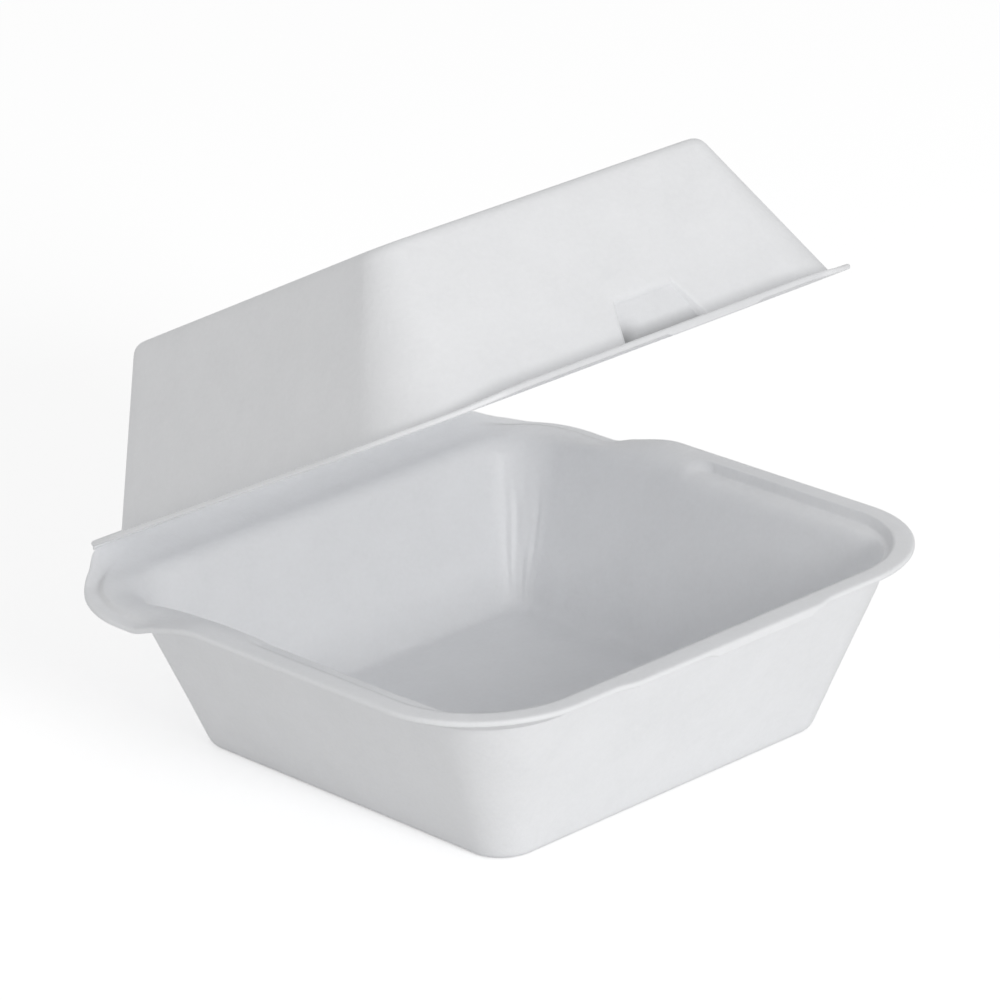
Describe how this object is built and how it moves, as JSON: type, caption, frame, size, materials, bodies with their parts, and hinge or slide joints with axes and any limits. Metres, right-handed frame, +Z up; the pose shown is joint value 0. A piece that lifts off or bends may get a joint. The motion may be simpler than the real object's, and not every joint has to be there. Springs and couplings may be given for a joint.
{
  "type": "hinged foam clamshell food container",
  "caption": "White foam clamshell sandwich box: a flared square tray and a hinged lid that stands half open, both with wide flanges, and a latch tongue and slot at the front.",
  "frame": {"origin": "centre of the tray's flat underside, on the surface that it stands on", "axes": "+Z up, +X along the hinge crease to the right when seen from the latch, +Y from the latch to the hinge"},
  "size_m": [0.15, 0.1496, 0.1344],
  "materials": {
    "foam": "satin, slightly mottled"
  },
  "bodies": {
    "base": {"base_tray": "foam"},
    "lid": {"lid": "foam"}
  },
  "joints": [
    {"name": "lid_hinge", "type": "hinge", "parent": "base", "child": "lid", "pos_m": [0, 0.0744, 0.04365], "axis": [-1, 0, 0], "range_deg": [-26.3, 153.7]}
  ]
}
